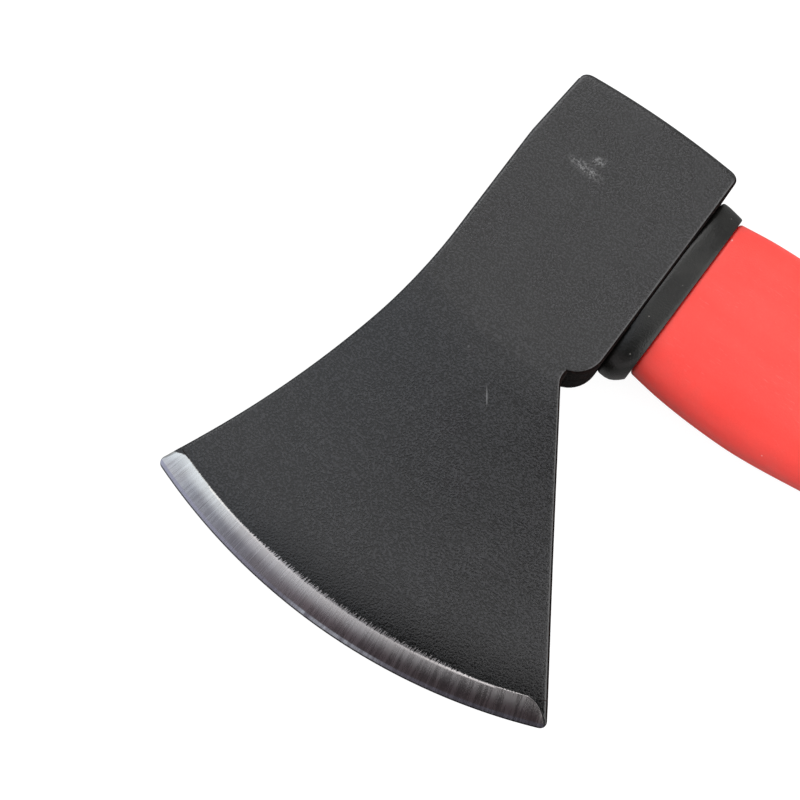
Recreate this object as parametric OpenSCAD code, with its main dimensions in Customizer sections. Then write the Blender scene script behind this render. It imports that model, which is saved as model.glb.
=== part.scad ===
// Fire axe with a forged flat-poll head and a glass-fibre handle in a moulded jacket.
// It lies on its side: +X runs up the handle to the head, +Y points to the cutting edge, +Z is up.
// Origin: on the lower cheek, right under the centre of the eye. Millimetres.

/* [Head] */
// Thickness of the head across its cheeks
head_t = 28; // [27:0.5:30]
// Height of the eye block, measured along the handle
eye_block_h = 52.4; // [50:0.2:56]
// Distance from the eye's centre back to the poll's face
poll_y = 33; // [31:0.2:36]
// Radius of the poll's slightly domed face
poll_r = 264; // [200:4:400]
// Distance from the eye's centre forward to the middle of the cutting edge
edge_y = 130.9; // [128:0.1:134]
// Radius of the cutting edge
edge_r = 172; // [165:1:180]
// Height of the toe above the eye's centre
toe_x = 53.4; // [50:0.2:56]
// Depth of the heel below the eye's centre
heel_x = 71.2; // [66:0.2:74]
// Width of the ground bevel along the cutting edge
bevel_w = 8; // [6:0.5:9]
// Thickness of the blade at the back of the bevel
bevel_t = 4.4; // [3.6:0.2:5.4]

/* [Eye] */
// Width of the eye across the head
eye_w = 17.6; // [16:0.2:18.6]
// Length of the eye from its back to its front
eye_l = 41; // [38:0.5:43]
// Thickness of the resin between the eye and the tongue
bond_gap = 0.6; // [0.4:0.1:1]

/* [Handle] */
// Length of the whole axe, from the toe to the butt
axe_l = 610; // [600:5:640]
// Thickness of the collar under the head
collar_h = 7.4; // [6:0.2:9]
// Width of the glass-fibre core
core_w = 20; // [16:1:22]
// Thickness of the glass-fibre core
core_t = 10; // [8:0.5:11]
// Length of the soft grip
grip_l = 160; // [140:5:170]
// Wall of the soft grip
grip_wall = 2.6; // [2:0.1:3]
// Radius of the bore in the hanging eyelet
hang_r = 4.2; // [3.5:0.1:4.6]

/* [Hidden] */

$fn = 64;
mid_z = head_t / 2;
eye_top = eye_block_h / 2;
eye_bottom = -eye_block_h / 2;
butt_x = toe_x - axe_l;

// The cutting edge and the poll's face are arcs; each centre lies on the far side of the head.
edge_c = [-2.3, edge_y - edge_r];
edge_land = 0.3;
poll_c = [-6, poll_r - poll_y];
poll_corner_r = 2.6;
poll_top_x = 24.4;

// The top line is flat over the eye, then two arcs sweep it up to the toe.
flat_end_y = 25;
sweep_r = 130;
sweep_a = 14;
sweep_end = [eye_top + sweep_r * (1 - cos(sweep_a)), flat_end_y + sweep_r * sin(sweep_a)];
tip_r = 1.6;
heel_r = 2.9;
toe = [toe_x, edge_c.y + sqrt(pow(edge_r, 2) - pow(toe_x - edge_c.x, 2)) - tip_r];
toe_chord = toe - sweep_end;
toe_a = 2 * atan2(toe_chord.x, toe_chord.y) - sweep_a;
toe_sweep_r = norm(toe_chord) / (2 * sin((toe_a - sweep_a) / 2));

// The underside is flat under the eye and rounds up into a notch, where the beard begins.
lug_c = [-17.5, 29.8];
lug_r = 8.7;
notch = [-20.5, 41.3];
notch_r = 1.5;

// Half of the head's thickness at distances back from the cutting edge.
cheek_steps = [[14, 3.1], [28, 4.5], [44, 6.2], [60, 8.6], [74, 11.2], [84, 13.2], [91, 14]];

// The eye flares at its top, and resin, tongue and core all end a little below it.
eye_y = 0.6;
eye_flare = 1;
eye_flare_depth = 9;
bond_top_x = eye_top - 1.5;

// Places down the handle: the shoulder under the collar, the grip, the knob and what they cover.
shoulder_x = eye_bottom - collar_h;
knob_l = 50;
knob_x = butt_x + knob_l;
grip_x = knob_x + grip_l;
tenon_end_x = knob_x - 14;
core_end_x = tenon_end_x + 6;
butt_round = 3;

// Eyelet through the knob's flat sides.
hang_x = butt_x + 19;
hang_y = 7.4;
eyelet_wall = 1;
eyelet_half_l = 13.2;
flange_r = 8;
flange_t = 0.8;

// Handle sections from the shoulder to the butt: x, back, front and thickness.
sections = [
    [shoulder_x, -24.9, 25.3, 25.6],
    [-44, -26.3, 26.5, 26.2],
    [-56, -27.0, 27.0, 26.4],
    [-70, -26.8, 26.6, 26.2],
    [-88, -25.2, 24.2, 25.6],
    [-115, -21.8, 19.6, 24.6],
    [-150, -18.8, 16.3, 23.4],
    [-200, -17.4, 15.0, 22.6],
    [-260, -18.0, 14.8, 22.6],
    [-320, -19.4, 15.0, 23.4],
    [-372, -20.2, 16.2, 25.0],
    [-425, -19.0, 18.4, 26.4],
    [-470, -16.2, 19.2, 25.8],
    [knob_x, -13.6, 20.6, 25.4],
    [knob_x - 22, -12.8, 25.6, 26.8],
    [knob_x - 38, -14.2, 30.6, 28.0],
    [butt_x, -14.0, 31.0, 28.0]
];
ring_points = 32;
squareness = 2.7;

// Slope of section value k at entry i, from its two neighbours.
function slope(i, k) =
    let (a = max(i - 1, 0), b = min(i + 1, len(sections) - 1))
    (sections[b][k] - sections[a][k]) / (sections[b][0] - sections[a][0]);

// Entry that starts the stretch which holds x.
function stretch(x, i = 0) =
    i >= len(sections) - 2 || x >= sections[i + 1][0] ? i : stretch(x, i + 1);

// Section value k at x, on a cubic that keeps the entries' slopes.
function value_at(x, k) =
    let (i = stretch(x), p = sections[i], q = sections[i + 1],
         d = q[0] - p[0], t = (x - p[0]) / d, s = 1 - t)
    (1 + 2 * t) * s * s * p[k] + t * s * s * d * slope(i, k)
    + t * t * (3 - 2 * t) * q[k] - t * t * s * d * slope(i + 1, k);

// Closed ring round a squared oval that spans back to front, set in by inset.
function ring(x, back, front, thick, inset = 0) =
    let (a = (front - back) / 2 - inset, b = thick / 2 - inset, c = (front + back) / 2)
    [for (i = [0 : ring_points - 1])
        let (t = 360 * i / ring_points, u = cos(t), v = sin(t))
        [x,
         c + a * sign(u) * pow(abs(u), 2 / squareness),
         mid_z + b * sign(v) * pow(abs(v), 2 / squareness)]];

// Ring of the handle at x.
function handle_ring(x, inset = 0) =
    ring(x, value_at(x, 1), value_at(x, 2), value_at(x, 3), inset);

// Points on an arc, from angle a to angle b in steps.
function arc(centre, r, a, b, steps) =
    [for (i = [0 : steps]) let (t = a + (b - a) * i / steps) centre + r * [cos(t), sin(t)]];

// Solid through rings that run down the handle.
module loft(rings) {
    n = len(rings[0]);
    last = len(rings) - 1;
    points = [for (r = rings) each r];
    sides = [for (j = [0 : last - 1], i = [0 : n - 1])
        let (a = j * n + i, b = j * n + (i + 1) % n)
        each [[a, b, b + n], [a, b + n, a + n]]];
    caps = [[for (i = [n - 1 : -1 : 0]) i], [for (i = [0 : n - 1]) last * n + i]];
    polyhedron(points, concat(sides, caps));
}

// Stretch of the handle between two places, in even steps.
module handle_loft(from_x, to_x, steps, inset = 0) {
    loft([for (i = [0 : steps]) handle_ring(from_x + (to_x - from_x) * i / steps, inset)]);
}

// Bar along X with a long round section, centred on the eye.
module slot_bar(width, length, from_x, to_x) {
    reach = (length - width) / 2;
    translate([from_x, eye_y, mid_z])
        rotate([90, 0, 90])
            linear_extrude(to_x - from_x) {
                for (side = [-1, 1]) translate([side * reach, 0]) circle(width / 2);
                square([2 * reach, width], center = true);
            }
}

// The eye's own shape: a straight bar with a flared mouth at the head's top.
module eye_space(from_x, to_x) {
    slot_bar(eye_w, eye_l, from_x, to_x);
    slot_bar(eye_w + 2 * eye_flare, eye_l + 2 * eye_flare, eye_top - eye_flare_depth, to_x);
}

// Upper end of the jacket, which fills the eye but for the resin.
module tongue(from_x) {
    slot_bar(eye_w - 2 * bond_gap, eye_l - 2 * bond_gap, from_x, bond_top_x);
}

// Reduced end of the jacket that the grip and the knob fit over.
module tenon() {
    handle_loft(grip_x + 1, tenon_end_x, 17, grip_wall);
}

module core_bar() {
    slot_bar(core_t, core_w, core_end_x, bond_top_x);
}

// Side outline of the head.
module head_outline() {
    low_x = eye_bottom + poll_corner_r;
    high_x = poll_top_x - poll_corner_r;
    inner_r = poll_r - poll_corner_r;
    low_c = [low_x, poll_c.y - sqrt(pow(inner_r, 2) - pow(low_x - poll_c.x, 2))];
    high_c = [high_x, poll_c.y - sqrt(pow(inner_r, 2) - pow(high_x - poll_c.x, 2))];
    low_a = 270 + asin((low_x - poll_c.x) / inner_r);
    high_a = 270 + asin((high_x - poll_c.x) / inner_r);
    edge_start = acos((toe_x - tip_r - edge_c.x) / edge_r);
    edge_stop = acos((heel_r - heel_x - edge_c.x) / edge_r);
    heel = [-heel_x, edge_c.y + edge_r * sin(edge_stop) - heel_r];
    beard_a = atan2(heel.y - notch.y, heel.x - notch.x);
    toe_sweep_c = sweep_end + toe_sweep_r * [cos(sweep_a), -sin(sweep_a)];
    polygon(concat(
        arc(low_c, poll_corner_r, 180, low_a, 4),
        arc(poll_c, poll_r, low_a, high_a, 8),
        arc(high_c, poll_corner_r, high_a, 354, 4),
        [[eye_top, -9]],
        arc([eye_top + sweep_r, flat_end_y], sweep_r, 180, 180 - sweep_a, 7),
        arc(toe_sweep_c, toe_sweep_r, 180 - sweep_a - 2, 180 - toe_a, 8),
        arc(edge_c, edge_r, edge_start, edge_stop, 26),
        [heel + heel_r * [0.2, 0.45], heel],
        arc(notch - notch_r * [1, 0.2], notch_r, beard_a - 90, beard_a - 170, 3),
        arc(lug_c, lug_r, 108, 180, 6)
    ));
}

// Forged blank: even cheeks that thin towards the edge and end in the bevel.
module forged_blank() {
    back = len(cheek_steps) - 1;
    bevel = [[edge_r + 0.6, edge_land / 2], [edge_r - bevel_w, bevel_t / 2]];
    cheek = [for (s = cheek_steps) [edge_r - s[0], s[1] * head_t / 28]];
    side = concat(bevel, cheek, [[0, cheek[back][1]]]);
    other_side = [for (i = [len(side) - 1 : -1 : 0]) [side[i][0], -side[i][1]]];
    translate([edge_c.x, edge_c.y, mid_z])
        rotate_extrude() polygon(concat(side, other_side));
}

// Drop-forged steel head with a black coat and a ground bevel.
module axe_head() {
    color("#3a3b3d")
    difference() {
        intersection() {
            linear_extrude(head_t) head_outline();
            forged_blank();
        }
        eye_space(eye_bottom - 1, eye_top + 1);
    }
}

// Resin that fills the gap round the tongue and bonds it in the eye.
module eye_resin() {
    color("#1c1a18")
    difference() {
        eye_space(eye_bottom, bond_top_x);
        tongue(shoulder_x);
        translate([1, 0, 0]) tongue(eye_bottom + 10);
    }
}

// Pultruded glass-fibre bar that carries the load inside the jacket.
module glass_fibre_core() {
    color("#c9c7a4") core_bar();
}

// Rubber collar between the head and the shoulder, which follows the lug at its front.
module shoulder_collar() {
    color("#222322")
    difference() {
        loft([
            ring(eye_bottom, -25.4, 30.2, 26.4),
            ring(eye_bottom - 1.2, -26.2, 31.0, 27.2),
            ring(eye_bottom - 0.5 * collar_h, -26.2, 30.6, 27.4),
            ring(shoulder_x, -25.7, 27.4, 26.6)
        ]);
        tongue(shoulder_x - 1);
    }
}

// Moulded jacket: the tongue in the eye, the shoulder, the throat and the tenon.
module handle_jacket() {
    color("#e8322f")
    difference() {
        union() {
            tongue(shoulder_x - 4);
            handle_loft(shoulder_x, grip_x, 34);
            tenon();
        }
        core_bar();
        translate([1, 0, 0]) slot_bar(core_t, core_w, 0, bond_top_x);
    }
}

// Soft grip moulded over the tenon.
module grip_sleeve() {
    color("#1d1e1e")
    difference() {
        handle_loft(grip_x, knob_x, 16);
        tenon();
    }
}

// Knob that closes the handle's end, with flat seats round its hanging hole.
module butt_knob() {
    seat_z = eyelet_half_l - flange_t;
    color("#1d1e1e")
    difference() {
        union() {
            handle_loft(knob_x, butt_x + butt_round, 10);
            loft([for (a = [0 : 22.5 : 90])
                handle_ring(butt_x + butt_round * (1 - sin(a)), butt_round * (1 - cos(a)))]);
        }
        tenon();
        translate([hang_x, hang_y, mid_z]) {
            cylinder(r = hang_r + eyelet_wall, h = head_t + 2, center = true);
            for (side = [-1, 1])
                translate([0, 0, side * (seat_z + head_t / 2)])
                    cylinder(r = flange_r, h = head_t, center = true);
        }
    }
}

// Flanged tube that lines the hanging hole.
module hanging_eyelet() {
    chamfer = 0.5;
    upper = [
        [hang_r, eyelet_half_l - chamfer], [hang_r + chamfer, eyelet_half_l],
        [flange_r - chamfer, eyelet_half_l], [flange_r, eyelet_half_l - chamfer],
        [flange_r, eyelet_half_l - flange_t], [hang_r + eyelet_wall, eyelet_half_l - flange_t]
    ];
    lower = [for (i = [len(upper) - 1 : -1 : 0]) [upper[i].x, -upper[i].y]];
    color("#8f9092")
    translate([hang_x, hang_y, mid_z])
        rotate_extrude() polygon(concat(upper, lower));
}

axe_head();
eye_resin();
glass_fibre_core();
shoulder_collar();
handle_jacket();
grip_sleeve();
butt_knob();
hanging_eyelet();
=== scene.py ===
import math

import bmesh
import bpy
import numpy as np
from mathutils import Matrix, Vector


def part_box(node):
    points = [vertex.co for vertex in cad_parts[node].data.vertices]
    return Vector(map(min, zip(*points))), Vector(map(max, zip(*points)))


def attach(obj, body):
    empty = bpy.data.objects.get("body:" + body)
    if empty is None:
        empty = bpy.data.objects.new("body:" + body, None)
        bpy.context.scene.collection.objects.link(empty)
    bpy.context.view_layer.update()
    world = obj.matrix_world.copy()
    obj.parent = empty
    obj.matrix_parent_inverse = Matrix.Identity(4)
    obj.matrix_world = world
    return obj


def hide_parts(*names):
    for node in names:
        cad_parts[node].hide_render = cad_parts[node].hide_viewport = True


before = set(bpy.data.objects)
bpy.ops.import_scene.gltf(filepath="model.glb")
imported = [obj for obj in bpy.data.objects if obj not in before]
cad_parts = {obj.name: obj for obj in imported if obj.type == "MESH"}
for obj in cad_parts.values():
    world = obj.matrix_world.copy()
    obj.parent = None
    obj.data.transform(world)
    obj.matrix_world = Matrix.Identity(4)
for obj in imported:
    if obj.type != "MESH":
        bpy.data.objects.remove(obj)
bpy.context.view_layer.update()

# ---- Floor, light and camera ----
# The axe lies on its side on a plain white light table, under a wide soft sky that is brightest above
# the poll and dark towards the edge's heel. One soft lamp hangs over the head, and one by the handle.

MM = 0.001


def put(tree, kind, inputs=(), **settings):
    """Adds a node to tree; inputs maps sockets to values or to the sockets that feed them."""
    node = tree.nodes.new(kind)
    for name, value in settings.items():
        setattr(node, name, value)
    for key, value in dict(inputs).items():
        if isinstance(value, bpy.types.NodeSocket):
            tree.links.new(value, node.inputs[key])
        else:
            node.inputs[key].default_value = value
    return node


def reckon(tree, operation, *terms):
    """Sum, product and so on of values or sockets."""
    return put(tree, "ShaderNodeMath", enumerate(terms), operation=operation).outputs[0]


def times(tree, first, second):
    return reckon(tree, "MULTIPLY", first, second)


def scaled(tree, value, factor, shift):
    return reckon(tree, "MULTIPLY_ADD", value, factor, shift)


def between(tree, value, low, high, start=0.0, stop=1.0):
    """Carries value smoothly from start, at low, to stop, at high."""
    places = {0: value, 1: low, 2: high, 3: start, 4: stop}
    return put(tree, "ShaderNodeMapRange", places, interpolation_type="SMOOTHSTEP").outputs[0]


def blend(tree, share, first, second, mode="MIX"):
    """Mixes two colours, or one into the other, by share."""
    parts = {0: share, 6: first, 7: second}
    return put(tree, "ShaderNodeMix", parts, data_type="RGBA", blend_type=mode).outputs[2]


def matter(name, **values):
    """New material and its node tree; the values go straight onto the Principled shader's sockets."""
    material = bpy.data.materials.new(name)
    material.use_nodes = True
    shader = material.node_tree.nodes["Principled BSDF"]
    for socket, value in values.items():
        shader.inputs[socket.replace("_", " ")].default_value = value
    return material, material.node_tree, shader


def grey(level):
    return (level, level, level, 1)


def paint(piece, material):
    """Makes this the piece's one material."""
    piece.data.materials.clear()
    piece.data.materials.append(material)


floor_size = 8.0
floor_gap = 0.05 * MM
bpy.ops.mesh.primitive_plane_add(size=floor_size, location=(0, 0, -floor_gap))
floor = bpy.context.object
floor.name = "floor"
lit_white, tree, shader = matter("lit_white", Base_Color=grey(0.16), Roughness=0.9, Emission_Strength=0.92)
# The table looks bright, and yet throws little of its light up at the axe.
seen = put(tree, "ShaderNodeLightPath").outputs["Is Camera Ray"]
tree.links.new(blend(tree, seen, grey(0.14), grey(1)), shader.inputs["Emission Color"])
paint(floor, lit_white)

# The camera looks down steeply, and its roll turns the handle's axis this far below level.
roll = math.radians(36.9)
elevation = math.radians(82)
aim = Vector((11.6, 69.05, 14)) * MM
view_distance = 510 * MM
right = Vector((-math.cos(roll), -math.sin(roll), 0))
level_up = Vector((math.sin(roll), -math.cos(roll), 0))
back = Vector((0, 0, math.sin(elevation))) - level_up * math.cos(elevation)
turn = Matrix((right, back.cross(right), back)).transposed().to_4x4()
camera = bpy.data.objects.new("camera", bpy.data.cameras.new("camera"))
camera.data.lens = 85
camera.data.sensor_width = 36
camera.data.clip_start = 0.01
camera.matrix_world = Matrix.Translation(aim + back * view_distance) @ turn
scene = bpy.context.scene
scene.collection.objects.link(camera)
scene.camera = camera
scene.view_settings.view_transform = "Standard"

world = bpy.data.worlds.new("studio")
world.use_nodes = True
scene.world = world
sky = world.node_tree
gaze = put(sky, "ShaderNodeTexCoord").outputs["Generated"]
rightward, upward, height = [
    put(sky, "ShaderNodeVectorMath", {0: gaze, 1: axis}, operation="DOT_PRODUCT").outputs["Value"]
    for axis in (right, level_up, (0, 0, 1))
]
dark_glow = 0.035
open_sky = between(sky, scaled(sky, rightward, -0.45, upward), -0.27, -0.03)
low_left = times(sky, between(sky, height, 0.85, 0.4), between(sky, rightward, -0.15, -0.5))
leftward_down = between(sky, reckon(sky, "ADD", rightward, upward), 0.1, -0.6)
beside = times(sky, between(sky, height, 0.5, 0.15), leftward_down)
glow = scaled(sky, low_left, 0.5, dark_glow)
glow = scaled(sky, open_sky, 1.34, glow)
glow = scaled(sky, beside, 0.9, glow)
# It is brighter to the right, and falls off towards the top of the view.
glow = times(sky, glow, scaled(sky, rightward, 0.5, 1.0))
glow = times(sky, glow, between(sky, upward, 0.15, 0.36, 1.1, 0.36))
cast = blend(sky, between(sky, rightward, -0.05, -0.45), (1, 0.99, 0.985, 1), (0.9, 0.965, 1.05, 1))
cast = blend(sky, open_sky, (1, 0.93, 0.96, 1), cast)
background = sky.nodes["Background"]
sky.links.new(cast, background.inputs["Color"])
sky.links.new(glow, background.inputs["Strength"])


def soft_light(name, side, up, height, width, depth, power):
    """Area light over the head, placed by its offsets to the view's right and up."""
    lamp = bpy.data.objects.new(name, bpy.data.lights.new(name, "AREA"))
    lamp.data.shape = "RECTANGLE"
    lamp.data.size = width
    lamp.data.size_y = depth
    lamp.data.energy = power
    lamp.location = aim + right * side + level_up * up + Vector((0, 0, height))
    lamp.rotation_euler = (lamp.location - aim).to_track_quat("Z", "Y").to_euler()
    scene.collection.objects.link(lamp)


soft_light("overhead", -0.3, 1.6, 1.3, 2.0, 1.6, 28)
soft_light("handle_side", 1.5, -0.8, 1.2, 2.4, 2.4, 50)


# ---- Head ----
# One drop forging of carbon steel: a flat poll, a block round the eye, a lug and a fan-shaped bit
# with a beard. It is blasted and powder-coated black, then the edge is ground bright on a belt,
# first to a wide facet and then to a narrow one.

low, high = [np.array(corner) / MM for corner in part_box("axe_head")]
mid_z = (low[2] + high[2]) / 2
half_t = (high[2] - low[2]) / 2
poll_y = low[1]
edge_r = 172.0
edge_c = np.array([-2.3, high[1] - edge_r])
underside_x = -26.2
eye_top_x = 26.2
poll_top_x = 24.4
poll_dome_r = 264.0
poll_dome_x = -6.0
poll_corner_r = 2.2
rim_r = 1.15
lug_c = np.array([-17.5, 29.8])
lug_r = 8.7
notch = np.array([-20.5, 41.3])
heel_y = 114.8
toe_y = 120.1
beard_slope = (low[0] - notch[0]) / (heel_y - notch[1])
neck_y = 38.0
bevel_w = 7.5
micro_w = 1.3
micro_t = 1.25
belt_crown = 0.45
eye_w, eye_l, eye_y = 17.6, 41.0, 0.6
# Half of the thickness at distances back from the edge, over the coated part.
cheek = np.array([
    [bevel_w, 3.1], [28, 4.6], [44, 6.25], [60, 8.7], [74, 11.4], [84, 13.3], [91, half_t], [120, half_t],
])


def top_line(y):
    """X of the head's top outline at y: level over the eye, then two arcs up to the toe."""
    first_r, first_y, first_a = 130.0, 25.0, math.radians(14)
    join = np.array([eye_top_x + first_r * (1 - math.cos(first_a)), first_y + first_r * math.sin(first_a)])
    toe = np.array([high[0], toe_y])
    run = toe - join
    last_a = 2 * math.atan2(run[0], run[1]) - first_a
    second_r = np.hypot(*run) / (2 * math.sin((last_a - first_a) / 2))
    centre = join + second_r * np.array([math.cos(first_a), -math.sin(first_a)])
    fall_y, fall_run = -9, 22
    fall = (eye_top_x - poll_top_x) / fall_run
    level = np.where(y < fall_y, eye_top_x + (y - fall_y) * fall, eye_top_x)
    first = eye_top_x + first_r - np.sqrt(np.maximum(first_r ** 2 - (y - first_y) ** 2, 0))
    second = centre[0] - np.sqrt(np.maximum(second_r ** 2 - (y - centre[1]) ** 2, 0))
    return np.where(y < first_y, level, np.where(y < join[1], first, second))


def bottom_line(y):
    """X of the head's lower outline at y: underside, lug, notch and beard."""
    lug_turn = math.radians(72)
    reach = np.clip(y - lug_c[1], 0, lug_r * math.sin(lug_turn))
    lug = lug_c[0] - np.sqrt(lug_r ** 2 - reach ** 2)
    beard = notch[0] + (y - notch[1]) * beard_slope
    soft = 0.35
    return -soft * np.log(np.exp(-(lug - lug_c[0]) / soft) + np.exp(-(beard - lug_c[0]) / soft)) + lug_c[0]


def back_from_edge(xy):
    """Distance back from the cutting edge."""
    return edge_r - np.hypot(xy[..., 0] - edge_c[0], xy[..., 1] - edge_c[1])


def along_edge(xy):
    """Distance along the edge, positive towards the toe."""
    return edge_r * np.arctan2(xy[..., 0] - edge_c[0], xy[..., 1] - edge_c[1])


def half_thickness(xy):
    """Half of the head's thickness: cheeks, the coat's roll-off above the bevel, and both facets."""
    heel_end, edge_run = -70, 128
    roll_off = 4.0
    d = back_from_edge(xy)
    s = np.clip((along_edge(xy) - heel_end) / edge_run, 0, 1)
    middle = np.sin(math.pi * s)
    smooth = 0.5 * (np.interp(d - 3, *cheek.T) + np.interp(d + 3, *cheek.T))
    body = np.where(d > 12, smooth, np.interp(d, *cheek.T))
    past = np.maximum(d - bevel_w, 0)
    sunk = 0.35 + 0.6 * middle
    body = body - sunk * np.exp(-past / roll_off)
    body = body * (1 - 0.09 * (2 * s - 1) ** 2 * np.clip((80 - d) / 50, 0, 1))
    at_bevel = cheek[0, 1] - sunk
    f = (d - micro_w) / (bevel_w - micro_w)
    facet = micro_t / 2 + (at_bevel - micro_t / 2) * (f + belt_crown * f * (1 - f))
    fine = micro_t / 2 * np.maximum(d, 0) / micro_w
    return np.where(d > bevel_w, body, np.where(d > micro_w, facet, fine))


def station(top, bottom, bulge, fractions):
    """Points on the arc from top to bottom that stands out by bulge towards the edge."""
    chord = bottom - top
    length = np.hypot(*chord)
    if abs(bulge) < 1e-4:
        return top + np.outer(fractions, chord), length
    radius = (length ** 2 / 4 + bulge ** 2) / (2 * bulge)
    out = np.array([-chord[1], chord[0]]) / length
    out = out * (1 if out[1] > 0 else -1)
    centre = (top + bottom) / 2 - out * (radius - bulge)
    start = math.atan2(top[1] - centre[1], top[0] - centre[0])
    stop = math.atan2(bottom[1] - centre[1], bottom[0] - centre[0])
    sweep = (stop - start + math.pi) % (2 * math.pi) - math.pi
    angles = start + sweep * np.asarray(fractions)
    points = centre + abs(radius) * np.stack([np.cos(angles), np.sin(angles)], -1)
    return points, abs(radius * sweep)


face_steps = 84
fillet_angles = np.radians([0, 15, 30, 45, 60, 75])


def head_ring(top, bottom, bulge, inset=0.0, thinner=0.0, flatten=1.0):
    """Closed loop round the head at one station, with both rims rounded."""
    _, length = station(top, bottom, bulge, [0, 1])
    ends, _ = station(top, bottom, bulge, [inset / length, 1 - inset / length])
    half_end = (half_thickness(ends) - thinner).clip(0.001)
    radius = np.minimum(rim_r, 0.72 * half_end)
    loop_t, loop_z = [], []
    for k, sign in ((0, 1), (1, -1)):
        rise = radius[k] * (1 - np.cos(fillet_angles))
        offset = np.concatenate([[0, 0, 0], rise[1:]]) + inset
        wall = half_end[k] - radius[k]
        height = np.concatenate([[0, wall / 2, wall], wall + radius[k] * np.sin(fillet_angles)[1:]])
        loop_t.append(offset if sign > 0 else length - offset[::-1])
        loop_z.append(height if sign > 0 else height[::-1])
    face_t = np.linspace(inset + radius[0], length - inset - radius[1], face_steps)
    t = np.concatenate([loop_t[0], face_t, loop_t[1]])
    xy, _ = station(top, bottom, bulge, t / length)
    z = (half_thickness(xy) - thinner).clip(0.001)
    fillets = len(fillet_angles) + 2
    drop = half_end - z[[fillets, -fillets - 1]]
    z[:fillets] = loop_z[0] - np.linspace(0, drop[0], fillets)
    z[-fillets:] = loop_z[1] - np.linspace(drop[1], 0, fillets)
    z = z * flatten
    near = np.column_stack([xy, mid_z + z])
    far = np.column_stack([xy, mid_z - z])[-2:0:-1]
    return np.vstack([near, far])


def skin(name, rings, sharp=35, ring=False):
    """Mesh object through closed loops of equal count; a last loop runs on into the first with ring."""
    count = len(rings[0])
    faces = []
    for j in range(len(rings) - (0 if ring else 1)):
        k = (j + 1) % len(rings)
        for i in range(count):
            n = (i + 1) % count
            faces.append((j * count + i, j * count + n, k * count + n, k * count + i))
    mesh = bpy.data.meshes.new(name)
    mesh.from_pydata((np.vstack(rings) * MM).tolist(), [], faces)
    shape = bmesh.new()
    shape.from_mesh(mesh)
    bmesh.ops.remove_doubles(shape, verts=shape.verts, dist=2e-6)
    bmesh.ops.dissolve_degenerate(shape, edges=shape.edges, dist=1e-7)
    bmesh.ops.recalc_face_normals(shape, faces=shape.faces)
    shape.to_mesh(mesh)
    shape.free()
    mesh.shade_smooth()
    mesh.set_sharp_from_angle(angle=math.radians(sharp))
    piece = bpy.data.objects.new(name, mesh)
    scene.collection.objects.link(piece)
    return piece


def outline_ring(up, down, bulge):
    """Loop between the top outline at y = up and the lower outline at y = down."""
    return head_ring(np.array([top_line(up), up]), np.array([bottom_line(down), down]), bulge)


def head_rings():
    """Loops from the poll's end to the neck."""
    rings = []
    foot = np.array([underside_x, poll_y + (underside_x - poll_dome_x) ** 2 / (2 * poll_dome_r)])
    crown = np.array([poll_top_x, poll_y + (poll_top_x - poll_dome_x) ** 2 / (2 * poll_dome_r)])
    dome = -np.hypot(*(crown - foot)) ** 2 / (8 * poll_dome_r)
    back_up = np.array([0, 0.25])
    for f in (0, 0.3, 0.6, 0.85):
        shrink = poll_corner_r + 11 * (1 - f)
        rings.append(head_ring(crown + back_up * f ** 2, foot + back_up * f ** 2, dome, shrink, rim_r, f))
    for a in np.radians(np.linspace(0, 90, 8)):
        step = np.array([0, poll_corner_r * (1 - math.cos(a))]) + back_up
        inset = poll_corner_r * (1 - math.sin(a))
        rings.append(head_ring(crown + step, foot + step, dome, inset, rim_r * (1 - math.sin(a))))
    start_y = poll_y + poll_corner_r + 2
    for y in np.concatenate([np.arange(start_y, 28, 1.6), np.arange(28, neck_y, 0.7)]):
        ease = max(0.0, 1 - (y - start_y) / 14)
        lean = (crown[1] - foot[1]) / 2 * ease
        rings.append(outline_ring(y + lean, y - lean, dome * ease))
    return rings


def edge_station(d):
    """Where the arc at distance d back from the edge meets the top line and the beard."""
    ys = np.linspace(60, 126, 3000)
    top_path = np.column_stack([top_line(ys), ys])
    low_path = np.column_stack([bottom_line(ys), ys])
    top = top_path[np.argmin(abs(back_from_edge(top_path) - d))]
    bottom = low_path[np.argmin(abs(back_from_edge(low_path) - d))]
    radius = edge_r - d
    half = np.hypot(*(top - bottom)) / 2
    tip_r = 2.3
    inset = tip_r - math.sqrt(tip_r ** 2 - max(tip_r - d, 0) ** 2)
    return top, bottom, radius - math.sqrt(radius ** 2 - half ** 2), inset


def blade_rings():
    """Loops from the neck, which fan out into arcs round the edge's centre, down to the edge."""
    fan_d = 20.0
    top_end, bottom_end, full_bulge, _ = edge_station(fan_d)
    w = np.concatenate([np.linspace(0, 0.08, 13)[:-1], np.linspace(0.08, 1, 44)])[:-1]
    rings = []
    for f in w:
        up = neck_y + (top_end[1] - neck_y) * f
        down = neck_y + (bottom_end[1] - neck_y) * f
        rings.append(outline_ring(up, down, full_bulge * f * f))
    facet = [20, 18.6, 17.2, 16, 15, 14, 13, 12.2, 11.4, 10.7, 10, 9.4, 8.9, 8.4, 8, 7.7, 7.5, 7.3, 6.8]
    for d in facet + [6, 5.2, 4.4, 3.6, 2.8, 2.2, 1.7, 1.4, 1.3, 1.2, 1.0, 0.7, 0.45, 0.25, 0.1]:
        top, bottom, bulge, inset = edge_station(d)
        rings.append(head_ring(top, bottom, bulge, inset))
    top, bottom, bulge, inset = edge_station(0.0)
    rings.append(head_ring(top, bottom, bulge, inset, 0.0, 0.0))
    return rings


round_count = 96
evenly_round = np.arange(round_count) * 2 * math.pi / round_count


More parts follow.
